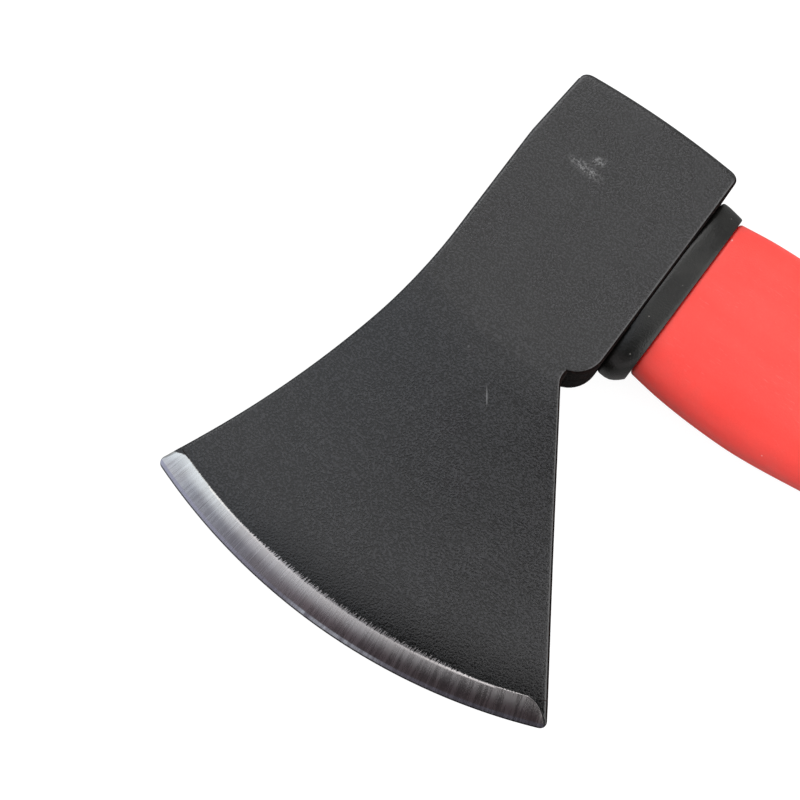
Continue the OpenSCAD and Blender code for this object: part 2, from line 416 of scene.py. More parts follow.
def oval(width, length, x, turns=evenly_round):
    """Loop with straight sides and round ends across the eye's axis at x."""
    a, b = length / 2, width / 2
    reach = a - b
    angle = np.arctan2(b * np.sin(turns), a * np.cos(turns))
    c, s = abs(np.cos(angle)), abs(np.sin(angle))
    side = b / np.maximum(s, 1e-9)
    end = reach * c + np.sqrt(np.maximum(b ** 2 - (reach * s) ** 2, 0))
    r = np.where(side * c <= reach, side, end)
    return np.column_stack([np.full(len(turns), x), eye_y + r * np.cos(angle), mid_z + r * np.sin(angle)])


def pinched(x, y, z, count=round_count):
    """Loop shrunk to one point, which closes a skin."""
    return np.tile([x, y, z], (count, 1))


def settle(piece, modifier, sharp=35):
    """Turns a modifier's result into the piece's own plain mesh."""
    evaluated = piece.evaluated_get(bpy.context.evaluated_depsgraph_get())
    old, piece.data = piece.data, bpy.data.meshes.new_from_object(evaluated)
    piece.modifiers.remove(piece.modifiers[modifier])
    bpy.data.meshes.remove(old)
    piece.data.name = piece.name
    piece.data.shade_smooth()
    piece.data.set_sharp_from_angle(angle=math.radians(sharp))


def cut_away(piece, tool):
    """Takes tool's volume out of piece for good."""
    cut = piece.modifiers.new("cut", "BOOLEAN")
    cut.operation = "DIFFERENCE"
    cut.solver = "EXACT"
    cut.object = tool
    settle(piece, "cut")
    bpy.data.objects.remove(tool)


def mark(piece, label, values):
    """Stores values on the mesh's points, where materials and node trees read them."""
    whole = values.ndim == 2
    stored = piece.data.attributes.new(label, "FLOAT_VECTOR" if whole else "FLOAT", "POINT")
    stored.data.foreach_set("vector" if whole else "value", values.astype(np.float32).ravel())


head = skin("forged_head", head_rings() + blade_rings())
# How far the eye's wall stands out from its plain oval, at places up the eye.
mouth = [(-28, 1.2), (-26.3, 1.2), (-25.4, 0), (17.2, 0), (24.8, 0.9)]
mouth += [(25.4, 1.15), (25.9, 1.6), (26.4, 2.5), (28, 2.5)]
broach = [pinched(mouth[0][0], eye_y, mid_z)]
broach += [oval(eye_w + 2 * grow, eye_l + 2 * grow, x) for x, grow in mouth]
broach.append(pinched(mouth[-1][0], eye_y, mid_z))
cut_away(head, skin("eye_broach", broach))

# What the coat and the grinding follow: place along the edge, back from it, and in from its two ends.
spots = np.array([vertex.co for vertex in head.data.vertices])[:, :2] / MM
beard_run = np.array([beard_slope, 1.0]) / math.hypot(beard_slope, 1)
in_from_beard = (spots[:, 0] - notch[0]) * beard_run[1] - (spots[:, 1] - notch[1]) * beard_run[0]
edge_place = np.column_stack([along_edge(spots), back_from_edge(spots), in_from_beard])
mark(head, "edge_place", edge_place)
top_slope = (top_line(spots[:, 1] + 0.1) - top_line(spots[:, 1] - 0.1)) / 0.2
mark(head, "in_from_top", (top_line(spots[:, 1]) - spots[:, 0]) / np.hypot(1, top_slope))


def shader_group(name, inputs, outputs):
    """Empty shader group; inputs holds starting values, and outputs are all plain values."""
    tree = bpy.data.node_groups.new(name, "ShaderNodeTree")
    for label, value in inputs.items():
        kind = "NodeSocketVector" if isinstance(value, tuple) else "NodeSocketFloat"
        tree.interface.new_socket(label, in_out="INPUT", socket_type=kind).default_value = value
    for label in outputs:
        tree.interface.new_socket(label, in_out="OUTPUT", socket_type="NodeSocketFloat")
    return tree, put(tree, "NodeGroupInput").outputs, put(tree, "NodeGroupOutput").inputs


def cloud(tree, place, grain, detail=2.0, rough=0.55):
    """Soft 3-D noise with patches of about grain millimetres."""
    scale = reckon(tree, "DIVIDE", 1 / MM, grain)
    return put(tree, "ShaderNodeTexNoise", {0: place, 2: scale, 3: detail, 4: rough}).outputs[0]


def streaks(tree, run, often, detail):
    """Noise that changes along run only."""
    noise = {"W": run, "Scale": often, "Detail": detail}
    return put(tree, "ShaderNodeTexNoise", noise, noise_dimensions="1D").outputs[0]


# Fine pebbled skin, as on powder coat or moulded rubber, over slow changes of tone.
settings = {"Place": (0, 0, 0), "Grain": 0.35, "Drift": 22.0}
pebble, given, result = shader_group("pebble", settings, ["Height", "Tone"])
fine = cloud(pebble, given["Place"], given["Grain"], 2, 0.6)
pebble.links.new(between(pebble, fine, 0.3, 0.7), result["Height"])
slow = cloud(pebble, given["Place"], given["Drift"], 3)
pebble.links.new(between(pebble, slow, 0.3, 0.7), result["Tone"])

# Dust and lint that handling leaves: sparse light specks and a thin smeared film.
settings = {"Place": (0, 0, 0), "Gap": 3.0, "Share": 0.3}
dust, given, result = shader_group("dust", settings, ["Specks", "Film"])
cell_scale = reckon(dust, "DIVIDE", 1 / MM, given["Gap"])
cells = put(dust, "ShaderNodeTexVoronoi", {"Vector": given["Place"], "Scale": cell_scale}).outputs
chance = put(dust, "ShaderNodeSeparateColor", {0: cells["Color"]}).outputs
chosen = reckon(dust, "LESS_THAN", chance[0], given["Share"])
speck_r = scaled(dust, chance[1], 0.07, 0.03)
near_middle = reckon(dust, "LESS_THAN", cells["Distance"], speck_r)
dust.links.new(times(dust, chosen, near_middle), result["Specks"])
smear = between(dust, cloud(dust, given["Place"], 16.0, 4, 0.65), 0.45, 0.75)
dust.links.new(smear, result["Film"])

# Hairline scratches: long thin streaks that lie in two directions and come in patches.
settings = {"Place": (0, 0, 0), "Width": 0.12, "Share": 0.5}
hairlines, given, result = shader_group("hairlines", settings, ["Lines"])
strokes = []
for lean, shift in ((0.5, 0.0), (2.2, 0.4)):
    laid = {"Vector": given["Place"], "Rotation": (0, 0, lean), "Scale": (0.05, 1, 1)}
    drawn = put(hairlines, "ShaderNodeMapping", laid | {"Location": (shift, 0, 0)}).outputs[0]
    streak = cloud(hairlines, drawn, given["Width"], 0)
    rare = scaled(hairlines, given["Share"], -0.2, 0.86)
    strokes.append(between(hairlines, streak, rare, reckon(hairlines, "ADD", rare, 0.05)))
both = reckon(hairlines, "MAXIMUM", *strokes)
patches = between(hairlines, cloud(hairlines, given["Place"], 12.0), 0.42, 0.62)
hairlines.links.new(times(hairlines, both, patches), result["Lines"])

# Lines that a belt or a lathe leaves in metal; Across counts millimetres over them, Run along them.
settings = {"Across": 0.0, "Run": 0.0, "Pitch": 0.3}
tool_lines, given, result = shader_group("tool_lines", settings, ["Height", "Tone"])
lines_at = [reckon(tool_lines, "DIVIDE", given["Across"], given["Pitch"])]
lines_at.append(times(tool_lines, given["Run"], 0.06))
sheet = put(tool_lines, "ShaderNodeCombineXYZ", enumerate(lines_at)).outputs[0]
scored = put(tool_lines, "ShaderNodeTexNoise", {0: sheet, 2: 1.0, 3: 3.0, 4: 0.7}).outputs[0]
tool_lines.links.new(scored, result["Height"])
wider = put(tool_lines, "ShaderNodeVectorMath", {0: sheet, 1: (0.22, 1, 1)}, operation="MULTIPLY")
wide = put(tool_lines, "ShaderNodeTexNoise", {0: wider.outputs[0], 2: 1.0, 3: 2.0, 4: 0.6}).outputs[0]
tool_lines.links.new(between(tool_lines, wide, 0.3, 0.7), result["Tone"])


def use(tree, group, **values):
    """Places a shader group in a material with values of its own."""
    return put(tree, "ShaderNodeGroup", values, node_tree=group).outputs


def own_place(tree):
    """Place on the piece itself, in metres."""
    return put(tree, "ShaderNodeTexCoord").outputs["Object"]


def tinge(tree, color, mask, share, tone):
    """Lays tone over color where mask is 1, as strongly as share."""
    return blend(tree, times(tree, mask, share), color, tone)


def either(tree, share, first, second):
    """The value first where share is 0, and second where it is 1."""
    rest = reckon(tree, "SUBTRACT", 1.0, share)
    return reckon(tree, "ADD", times(tree, share, second), times(tree, rest, first))


def patch_at(tree, place, centre, size, lean=0.0):
    """1 in the middle of an oval patch with these half sizes in millimetres, and 0 outside it."""
    laid = {"Location": Vector(centre) * MM, "Rotation": (0, 0, lean), "Scale": Vector(size) * MM}
    local = put(tree, "ShaderNodeMapping", laid | {"Vector": place}, vector_type="TEXTURE").outputs[0]
    reach = put(tree, "ShaderNodeVectorMath", {0: local}, operation="LENGTH").outputs["Value"]
    return between(tree, reach, 1.0, 0.25)


def dress(tree, shader, color, roughness, height, depth):
    """Feeds colour, roughness and a bump of the given depth in millimetres to the shader."""
    tree.links.new(color, shader.inputs["Base Color"])
    tree.links.new(roughness, shader.inputs["Roughness"])
    bump = put(tree, "ShaderNodeBump", {"Height": height, "Strength": 1.0, "Distance": depth * MM})
    tree.links.new(bump.outputs[0], shader.inputs["Normal"])


coat, tree, shader = matter("black_coat", Specular_IOR_Level=0.6)
place = own_place(tree)
marks = put(tree, "ShaderNodeAttribute", attribute_name="edge_place").outputs["Vector"]
along, back_in, in_beard = put(tree, "ShaderNodeSeparateXYZ", {0: marks}).outputs

# The bright facet narrows at the toe, and stops in a round end just short of the beard.
clear_of_beard = put(tree, "ShaderNodeMapRange", {0: in_beard, 1: 0.9, 2: 6.1}).outputs[0]
gone = reckon(tree, "SUBTRACT", 1.0, clear_of_beard)
facet_w = reckon(tree, "SQRT", reckon(tree, "SUBTRACT", 1.0, times(tree, gone, gone)))
in_top = put(tree, "ShaderNodeAttribute", attribute_name="in_from_top").outputs["Fac"]
facet_w = times(tree, facet_w, between(tree, in_top, -1.2, 3.4, 0.62, 1.0))
past = reckon(tree, "SUBTRACT", back_in, times(tree, facet_w, bevel_w))
# Single coarse grits run past the facet and cut streaks in the coat, most of all below its middle.
slanted = scaled(tree, back_in, 0.3, along)
grit = between(tree, streaks(tree, slanted, 2.0, 2.5), 0.3, 0.74)
worked = times(tree, between(tree, along, -52, -34), between(tree, along, 34, 6))
overrun = times(tree, grit, scaled(tree, worked, 1.3, 0.15))
bare = between(tree, reckon(tree, "SUBTRACT", past, overrun), -0.02, -0.3)

skin_of_coat = use(tree, pebble, Place=place, Grain=0.55, Drift=26.0)
handling = use(tree, dust, Place=place, Gap=4.5, Share=0.10)
scratched = use(tree, hairlines, Place=place, Width=0.11, Share=0.35)["Lines"]
speckle = between(tree, skin_of_coat["Height"], 0.42, 0.8)
tone = scaled(tree, speckle, 0.017, 0.0006)
# Painted shade: the coat is painted much darker in a band along the facet, where the cheek rolls off
# towards the edge, and the band is a little smoother too.
painted_shade_band = times(tree, between(tree, past, 15, 1.5), between(tree, along, 38, 10))
tone = times(tree, tone, scaled(tree, painted_shade_band, -0.88, 1.0))
blue = times(tree, tone, 1.1)
coat_color = put(tree, "ShaderNodeCombineColor", {0: tone, 1: tone, 2: blue}).outputs[0]
coat_color = tinge(tree, coat_color, handling["Film"], 0.018, (0.2, 0.2, 0.21, 1))
coat_color = tinge(tree, coat_color, handling["Specks"], 0.12, grey(0.3))
coat_color = tinge(tree, coat_color, scratched, 0.10, grey(0.3))
# One rub beside the poll has gone through to the primer, and a thin scratch crosses the cheek.
rub = patch_at(tree, place, (8.4, -9.1, 28), (7.5, 2.2, 1.5), -0.04)
rub = reckon(tree, "MAXIMUM", rub, patch_at(tree, place, (6.4, -12.7, 28), (3.2, 1.9, 1.5), 0.5))
rub = times(tree, rub, between(tree, cloud(tree, place, 0.6, 3, 0.7), 0.42, 0.66))
nick = patch_at(tree, place, (-7.1, 55.8, 25.5), (3.6, 0.3, 3), -0.93)
worn = reckon(tree, "MAXIMUM", times(tree, rub, 0.42), times(tree, nick, 0.3))
coat_color = blend(tree, worn, coat_color, grey(0.34))

belt = use(tree, tool_lines, Across=along, Run=back_in, Pitch=0.28)
stain = between(tree, cloud(tree, place, 7.0, 3), 0.4, 0.7)
steel = blend(tree, belt["Tone"], (0.43, 0.42, 0.43, 1), (0.57, 0.565, 0.57, 1))
steel = tinge(tree, steel, stain, 0.25, (0.36, 0.31, 0.29, 1))
tarnish = times(tree, between(tree, back_in, 6.2, 2.6), between(tree, along, 26, -2))
steel = tinge(tree, steel, tarnish, 0.62, (0.27, 0.20, 0.21, 1))
steel = tinge(tree, steel, between(tree, past, -5.0, -0.4), 0.6, (0.84, 0.85, 0.81, 1))
# The outer part of the wide facet is darker and a little bluer towards the toe.
darker_outer_band = times(tree, between(tree, back_in, 5.8, 3.2), between(tree, along, 2, 30))
darker_outer_band = times(tree, darker_outer_band, between(tree, in_top, 2, 14))
steel = blend(tree, times(tree, darker_outer_band, 0.8), steel, (0.56, 0.56, 0.6, 1), "MULTIPLY")
# Painted shade: the facet is painted darker everywhere short of the toe, since towards the heel it faces
# away from the light.
painted_toe_light = reckon(tree, "MAXIMUM", between(tree, along, 18, 46), 0.1)
steel = blend(tree, reckon(tree, "SUBTRACT", 1.0, painted_toe_light), steel, (0.72, 0.68, 0.70, 1), "MULTIPLY")
# Painted highlight: the fine facet is painted bright and bluish in streaks along the middle of the edge.
# The edge itself is a dark line.
fine_facet = between(tree, back_in, micro_w + 0.15, micro_w - 0.15)
lit = times(tree, between(tree, along, -30, -20), between(tree, along, 10, -2))
painted_gleam = times(tree, between(tree, streaks(tree, along, 0.35, 4.0), 0.25, 0.65), lit)
fine_steel = blend(tree, painted_gleam, (0.33, 0.32, 0.38, 1), (0.86, 0.92, 1, 1))
steel = blend(tree, fine_facet, steel, fine_steel)
dark_streaks = between(tree, belt["Height"], 0.38, 0.26)
steel = tinge(tree, steel, dark_streaks, 0.3, grey(0.25))
steel = blend(tree, between(tree, back_in, 0.5, 0.2), steel, grey(0.07))

coat_rough = between(tree, skin_of_coat["Tone"], 0.0, 1.0, 0.25, 0.32)
# The painted shade band is also a little smoother.
coat_rough = reckon(tree, "SUBTRACT", coat_rough, times(tree, painted_shade_band, 0.11))
steel_rough = between(tree, belt["Tone"], 0.0, 1.0, 0.30, 0.22)
roughness = either(tree, bare, coat_rough, steel_rough)
steel_height = times(tree, belt["Height"], 0.42)
coat_height = scaled(tree, skin_of_coat["Height"], 0.8, 0.6)
relief = either(tree, bare, coat_height, steel_height)
tree.links.new(bare, shader.inputs["Metallic"])
dress(tree, shader, blend(tree, bare, coat_color, steel), roughness, relief, 0.05)
paint(head, coat)

# Painted shade: the walls of the underside, lug and beard, which face away from the light, get a rough
# near-black, reddish-brown material of their own; it stands in for their shade and for the red handle
# reflected in them.
scale, tree, shader = matter("painted_shade_walls", Specular_IOR_Level=0.06)
place = own_place(tree)
wall_grain = use(tree, pebble, Place=place, Grain=0.9, Drift=6.0)
color = blend(tree, wall_grain["Tone"], (0.0012, 0.0008, 0.0008, 1), (0.006, 0.0034, 0.003, 1))
color = tinge(tree, color, between(tree, wall_grain["Height"], 0.6, 1.0), 0.22, (0.05, 0.028, 0.02, 1))
dress(tree, shader, color, between(tree, wall_grain["Tone"], 0.0, 1.0, 0.7, 0.9), wall_grain["Height"], 0.12)
head.data.materials.append(scale)
# Walls facing away from the light take the painted shade material.
for face in head.data.polygons:
    if face.normal.x < -0.2 and abs(face.normal.z) < 0.8 and face.normal.y > -0.8:
        face.material_index = 1
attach(head, "root")
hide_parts("axe_head")


# ---- Resin in the eye ----
# Black epoxy poured round the tongue, which bonds the head on. It fills the gap down to the collar
# and creeps up both walls as it sets, so its top is a shallow gutter.

tongue_w, tongue_l = eye_w - 1.2, eye_l - 1.2
pour_top_x = 24.7
# Place up the eye, and how far out from the tongue.
resin_walls = [(-26.2, 0.58), (17.2, 0.58), (23.6, 1.32), (24.75, 1.45), (24.45, 1.3), (24.22, 0.95)]
resin_walls += [(24.15, 0.7), (24.25, 0.35), (24.5, 0.12), (24.66, 0.02), (24.3, 0.0), (-26.2, 0.0)]
loops = [oval(tongue_w + 2 * out, tongue_l + 2 * out, x) for x, out in resin_walls]
resin = skin("eye_resin_fill", loops, ring=True)
epoxy, tree, shader = matter("black_epoxy", Specular_IOR_Level=0.5)
place = own_place(tree)
ripple = use(tree, pebble, Place=place, Grain=2.6, Drift=9.0)
pinholes = use(tree, dust, Place=place, Gap=1.6, Share=0.3)["Specks"]
color = blend(tree, ripple["Tone"], (0.012, 0.011, 0.010, 1), (0.03, 0.027, 0.024, 1))
height = reckon(tree, "SUBTRACT", ripple["Height"], times(tree, pinholes, 0.9))
dress(tree, shader, color, between(tree, ripple["Tone"], 0.0, 1.0, 0.14, 0.34), height, 0.08)
paint(resin, epoxy)
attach(resin, "root")
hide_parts("eye_resin")


# ---- Glass-fibre core ----
# A pultruded bar of glass rovings in clear polyester, which carries the load. Only its sawn end
# shows, between the tongue's walls at the top of the eye.

fibre, tree, shader = matter("glass_fibre", Specular_IOR_Level=0.5)
place = own_place(tree)
drawn = put(tree, "ShaderNodeMapping", {"Vector": place, "Scale": (0.03, 1, 1)}).outputs[0]
bundles = between(tree, cloud(tree, drawn, 0.9, 2), 0.35, 0.65)
ends = between(tree, cloud(tree, drawn, 0.22, 2, 0.7), 0.35, 0.65)
color = blend(tree, bundles, (0.34, 0.33, 0.22, 1), (0.62, 0.60, 0.44, 1))
color = tinge(tree, color, ends, 0.55, (0.78, 0.78, 0.66, 1))
_, across, through = put(tree, "ShaderNodeSeparateXYZ", {0: place}).outputs
across, through = times(tree, across, 1 / MM), times(tree, through, 1 / MM)
saw = use(tree, tool_lines, Across=across, Run=through, Pitch=0.5)
color = tinge(tree, color, between(tree, saw["Height"], 0.5, 0.35), 0.4, (0.16, 0.14, 0.09, 1))
height = reckon(tree, "ADD", saw["Height"], times(tree, ends, 0.5))
dress(tree, shader, color, between(tree, bundles, 0.0, 1.0, 0.42, 0.62), height, 0.08)
paint(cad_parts["glass_fibre_core"], fibre)


# ---- Collar ----
# Satin black rubber ring, pushed up the handle and squeezed between the head's underside and the
# shoulder. It bulges past both, and its rims are rounded.

shoulder_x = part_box("shoulder_collar")[0].x / MM
squareness = 2.7


def squared_loop(x, back_y, front_y, thick, inset=0.0, turns=evenly_round, ridge=0.0):
    """Loop round a squared oval across the handle; ridge lifts it where the mould's halves met."""
    a, b = (front_y - back_y) / 2 - inset, thick / 2 - inset
    c, s = np.cos(turns), np.sin(turns)
    r = ((abs(c) / a) ** squareness + (abs(s) / b) ** squareness) ** (-1 / squareness)
    r = r + ridge * np.exp(-(s * r / 0.16) ** 2)
    return np.column_stack([np.full(len(turns), x), (front_y + back_y) / 2 + r * c, mid_z + r * s])


# Place along the handle, back, front and thickness of the squeezed ring.
collar_form = [(-26.25, -25.4, 30.0, 26.2), (-26.4, -26.3, 30.2, 26.7), (-26.8, -26.9, 30.4, 27.0),
               (-27.4, -27.05, 30.45, 27.2), (-28.8, -27.0, 30.5, 27.3), (-30.2, -26.8, 30.25, 27.3),
               (-31.4, -26.6, 29.6, 27.3), (-32.4, -26.45, 28.8, 27.2), (-33.2, -26.3, 28.0, 27.05),
               (-33.5, -26.1, 27.7, 26.8), (shoulder_x + 0.02, -25.7, 27.3, 26.4)]
collar_loops = [squared_loop(*section) for section in collar_form]
collar_loops.append(oval(tongue_w, tongue_l, shoulder_x + 0.02))
collar_loops.append(oval(tongue_w, tongue_l, -26.25))
collar = skin("collar_ring", collar_loops, ring=True)
rubber, tree, shader = matter("black_rubber", Specular_IOR_Level=0.42)
place = own_place(tree)
surface = use(tree, pebble, Place=place, Grain=0.5, Drift=14.0)
handling = use(tree, dust, Place=place, Gap=2.4, Share=0.22)
color = blend(tree, surface["Tone"], (0.0022, 0.0023, 0.0018, 1), (0.0048, 0.005, 0.004, 1))
color = tinge(tree, color, handling["Film"], 0.04, (0.24, 0.22, 0.2, 1))
color = tinge(tree, color, handling["Specks"], 0.35, (0.4, 0.38, 0.35, 1))
dress(tree, shader, color, between(tree, surface["Tone"], 0.0, 1.0, 0.26, 0.36), surface["Height"], 0.03)
paint(collar, rubber)
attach(collar, "root")
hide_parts("shoulder_collar")


# ---- Handle jacket ----
# Red polypropylene moulded round the core in a two-part mould, so a fine ridge runs down its back
# and front. Its upper end is the tongue in the eye, and a thinner tenon runs on under the grip.

core_l, core_w = 20.04, 10.04
core_end_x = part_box("glass_fibre_core")[0].x / MM
tenon_end_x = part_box("handle_jacket")[0].x / MM
grip_top_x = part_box("grip_sleeve")[1].x / MM
knob_top_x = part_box("butt_knob")[1].x / MM
butt_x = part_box("butt_knob")[0].x / MM
grip_wall = 2.6
# Place, back, front and thickness of the handle, from the shoulder to the butt.
stations = np.array([
    [shoulder_x, -24.9, 25.3, 25.6],
    [-44, -26.3, 26.5, 26.2],
    [-56, -27.0, 27.0, 26.4],
    [-70, -26.8, 26.6, 26.2],
    [-88, -25.2, 24.2, 25.6],
    [-115, -21.8, 19.6, 24.6],
    [-150, -18.8, 16.3, 23.4],
    [-200, -17.4, 15.0, 22.6],
    [-260, -18.0, 14.8, 22.6],
    [-320, -19.4, 15.0, 23.4],
    [-372, -20.2, 16.2, 25.0],
    [-425, -19.0, 18.4, 26.4],
    [-470, -16.2, 19.2, 25.8],
    [knob_top_x, -13.6, 20.6, 25.4],
    [knob_top_x - 22, -12.8, 25.6, 26.8],
    [knob_top_x - 38, -14.2, 30.6, 28.0],
    [butt_x, -14.0, 31.0, 28.0],
])
padded = np.vstack([stations[:1], stations, stations[-1:]])
leans = (padded[2:, 1:] - padded[:-2, 1:]) / (padded[2:, :1] - padded[:-2, :1])


def handle_size(x):
    """Back, front and thickness at x, on a smooth curve through the stations."""
    i = int(np.clip(np.sum(stations[:, 0] >= x) - 1, 0, len(stations) - 2))
    d = stations[i + 1, 0] - stations[i, 0]
    t = (x - stations[i, 0]) / d
    s = 1 - t
    start, stop = stations[i, 1:], stations[i + 1, 1:]
    return ((1 + 2 * t) * s * s * start + t * s * s * d * leans[i]
            + t * t * (3 - 2 * t) * stop - t * t * s * d * leans[i + 1])


def handle_loop(x, inset=0.0, turns=evenly_round, ridge=0.0):
    return squared_loop(x, *handle_size(x), inset, turns, ridge)


def rolled(x, radius, step):
    """Loops round a rounded rim that starts at x, in the direction of step, and goes out to full size."""
    angles = np.radians(np.linspace(0, 90, 5))
    return [(x + step * radius * (1 - math.cos(a)), radius * (1 - math.sin(a))) for a in angles]


near_ridge = np.radians([0.22, 0.45, 0.8])
jacket_turns = np.sort(np.concatenate([evenly_round, near_ridge, 2 * math.pi - near_ridge,
                                       math.pi + near_ridge, math.pi - near_ridge]))
jacket_count = len(jacket_turns)
jacket_loops = [pinched(core_end_x, eye_y, mid_z, jacket_count)]
jacket_loops += [oval(core_w, core_l, x, jacket_turns) for x in (core_end_x, pour_top_x)]
jacket_loops += [oval(tongue_w - 0.5, tongue_l - 0.5, pour_top_x, jacket_turns)]
jacket_loops += [oval(tongue_w, tongue_l, x, jacket_turns) for x in (pour_top_x - 0.25, shoulder_x)]
jacket_loops += [handle_loop(x, inset, jacket_turns) for x, inset in rolled(shoulder_x, 0.9, -1)]
body_x = np.concatenate([np.arange(shoulder_x - 2, -130, -2.4), np.arange(-130, grip_top_x + 4, -5.0)])
jacket_loops += [handle_loop(x, 0, jacket_turns, 0.13) for x in body_x]
# A shallow groove rings the jacket just above the grip, and its last rim is rounded.
groove = [(4.2, 0), (3.8, 0.1), (3.5, 0.45), (3.1, 0.6), (2.7, 0.45), (2.4, 0.1), (2.0, 0)]
groove += [(0.6, 0), (0.2, 0.15), (0.02, 0.5)]
jacket_loops += [handle_loop(grip_top_x + up, inset, jacket_turns) for up, inset in groove]
tenon_x = np.linspace(grip_top_x, tenon_end_x, 34)
jacket_loops += [handle_loop(x, grip_wall, jacket_turns) for x in tenon_x]
end_middle = handle_size(tenon_end_x)[:2].mean()
jacket_loops.append(pinched(tenon_end_x, end_middle, mid_z, jacket_count))
jacket = skin("moulded_jacket", jacket_loops, 30)

red, tree, shader = matter("red_plastic", Specular_IOR_Level=0.3, Subsurface_Weight=0.7,
                           Subsurface_Radius=(1, 0.2, 0.15), Subsurface_Scale=0.006)
place = own_place(tree)
surface = use(tree, pebble, Place=place, Grain=0.45, Drift=30.0)
handling = use(tree, dust, Place=place, Gap=5.0, Share=0.16)
scratched = use(tree, hairlines, Place=place, Width=0.14, Share=0.45)["Lines"]
flow = put(tree, "ShaderNodeMapping", {"Vector": place, "Scale": (0.15, 1, 1)}).outputs[0]
marbled = between(tree, cloud(tree, flow, 9.0, 3), 0.35, 0.65)
color = blend(tree, marbled, (0.86, 0.070, 0.056, 1), (0.90, 0.081, 0.065, 1))
color = tinge(tree, color, surface["Height"], 0.12, (0.66, 0.030, 0.024, 1))
color = tinge(tree, color, handling["Film"], 0.06, (0.34, 0.20, 0.17, 1))
color = tinge(tree, color, handling["Specks"], 0.5, (0.85, 0.62, 0.6, 1))
color = tinge(tree, color, scratched, 0.25, (0.85, 0.30, 0.27, 1))
roughness = between(tree, surface["Tone"], 0.0, 1.0, 0.34, 0.46)
roughness = scaled(tree, scratched, 0.15, roughness)
height = reckon(tree, "SUBTRACT", surface["Height"], times(tree, scratched, 0.8))
dress(tree, shader, color, roughness, height, 0.02)
paint(jacket, red)
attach(jacket, "root")
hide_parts("handle_jacket")


# ---- Grip ----
# Soft black rubber moulded over the tenon: a plain cuff at each end, ribs across the back and the
# front for the fingers, and a knurled panel of diamonds in each flat side.

relief_h = 0.7
grip_count = 192
grip_turns = np.arange(grip_count) * 2 * math.pi / grip_count
outer = rolled(grip_top_x, 0.6, -1)
outer += [(x, relief_h) for x in np.linspace(grip_top_x - 1.2, knob_top_x + 1.2, 300)]
outer += [(x, inset) for x, inset in reversed(rolled(knob_top_x, 0.6, 1))]
bore_x = np.linspace(knob_top_x, grip_top_x, 24)
loops = [handle_loop(x, max(inset, relief_h), grip_turns) for x, inset in outer]
loops += [handle_loop(x, grip_wall, grip_turns) for x in bore_x]
grip = skin("knurled_grip", loops, ring=True)
spots = np.array([vertex.co for vertex in grip.data.vertices]) / MM
sizes = np.array([handle_size(x) for x in spots[:, 0]])
from_middle = spots[:, 1] - (sizes[:, 0] + sizes[:, 1]) / 2
half_depth = (sizes[:, 1] - sizes[:, 0]) / 2
reach = np.hypot(from_middle / half_depth, (spots[:, 2] - mid_z) / (sizes[:, 2] / 2))
from_end = np.minimum(grip_top_x - spots[:, 0], spots[:, 0] - knob_top_x)
mark(grip, "grip_place", np.column_stack([grip_top_x - spots[:, 0], from_middle, from_end]))
mark(grip, "outside", reach > 0.9)

knurl = bpy.data.node_groups.new("grip_relief", "GeometryNodeTree")
knurl.interface.new_socket("Geometry", in_out="INPUT", socket_type="NodeSocketGeometry")
pattern_sizes = {"Rib Pitch": 6.4, "Diamond Pitch": 5.6, "Panel Half Width": 8.6, "Relief": relief_h * MM}
for label, value in pattern_sizes.items():
    knurl.interface.new_socket(label, in_out="INPUT", socket_type="NodeSocketFloat").default_value = value
knurl.interface.new_socket("Material", in_out="INPUT", socket_type="NodeSocketMaterial")
knurl.interface.new_socket("Geometry", in_out="OUTPUT", socket_type="NodeSocketGeometry")
given = put(knurl, "NodeGroupInput").outputs


def marked(label, kind):
    return put(knurl, "GeometryNodeInputNamedAttribute", {"Name": label}, data_type=kind).outputs[0]


def sawtooth(value, pitch):
    """0 on a line, 1 half a pitch away from it, over and over."""
    part = reckon(knurl, "FRACT", reckon(knurl, "DIVIDE", value, pitch))
    return times(knurl, reckon(knurl, "ABSOLUTE", reckon(knurl, "SUBTRACT", part, 0.5)), 2.0)


placed = marked("grip_place", "FLOAT_VECTOR")
down, sideways, inward = put(knurl, "ShaderNodeSeparateXYZ", {0: placed}).outputs
rib = between(knurl, sawtooth(down, given["Rib Pitch"]), 0.32, 0.66)
slants = [scaled(knurl, sideways, lean, down) for lean in (0.62, -0.62)]
furrow = reckon(knurl, "MINIMUM", *[sawtooth(slant, given["Diamond Pitch"]) for slant in slants])
diamond = between(knurl, furrow, 0.1, 0.42)
off_side = reckon(knurl, "ABSOLUTE", sideways)
edge_of_panel = reckon(knurl, "SUBTRACT", off_side, given["Panel Half Width"])
in_panel = between(knurl, edge_of_panel, 0.0, -0.6)
in_ribs = between(knurl, edge_of_panel, 1.2, 1.9)
past_cuff = between(knurl, inward, 7.0, 7.7)
cuff = between(knurl, inward, 6.0, 5.3)
pattern = reckon(knurl, "ADD", times(knurl, in_panel, diamond), times(knurl, in_ribs, rib))
raised = reckon(knurl, "ADD", times(knurl, pattern, past_cuff), cuff)
lip = between(knurl, inward, 0.0, 0.55)
raised = times(knurl, times(knurl, raised, lip), marked("outside", "FLOAT"))
normal = put(knurl, "GeometryNodeInputNormal").outputs[0]
offset = put(knurl, "ShaderNodeVectorMath", {0: normal}, operation="SCALE")
knurl.links.new(times(knurl, raised, given["Relief"]), offset.inputs["Scale"])
moved = {"Geometry": given["Geometry"], "Offset": offset.outputs[0]}
shape = put(knurl, "GeometryNodeSetPosition", moved).outputs[0]
noted = {"Geometry": shape, "Name": "raised"}
kept = put(knurl, "GeometryNodeStoreNamedAttribute", noted, data_type="FLOAT")
knurl.links.new(raised, kept.inputs["Value"])
solid = put(knurl, "GeometryNodeRealizeInstances", {0: kept.outputs[0]}).outputs[0]
finished = put(knurl, "GeometryNodeSetMaterial", {0: solid, "Material": given["Material"]})
put(knurl, "NodeGroupOutput", {0: finished.outputs[0]})

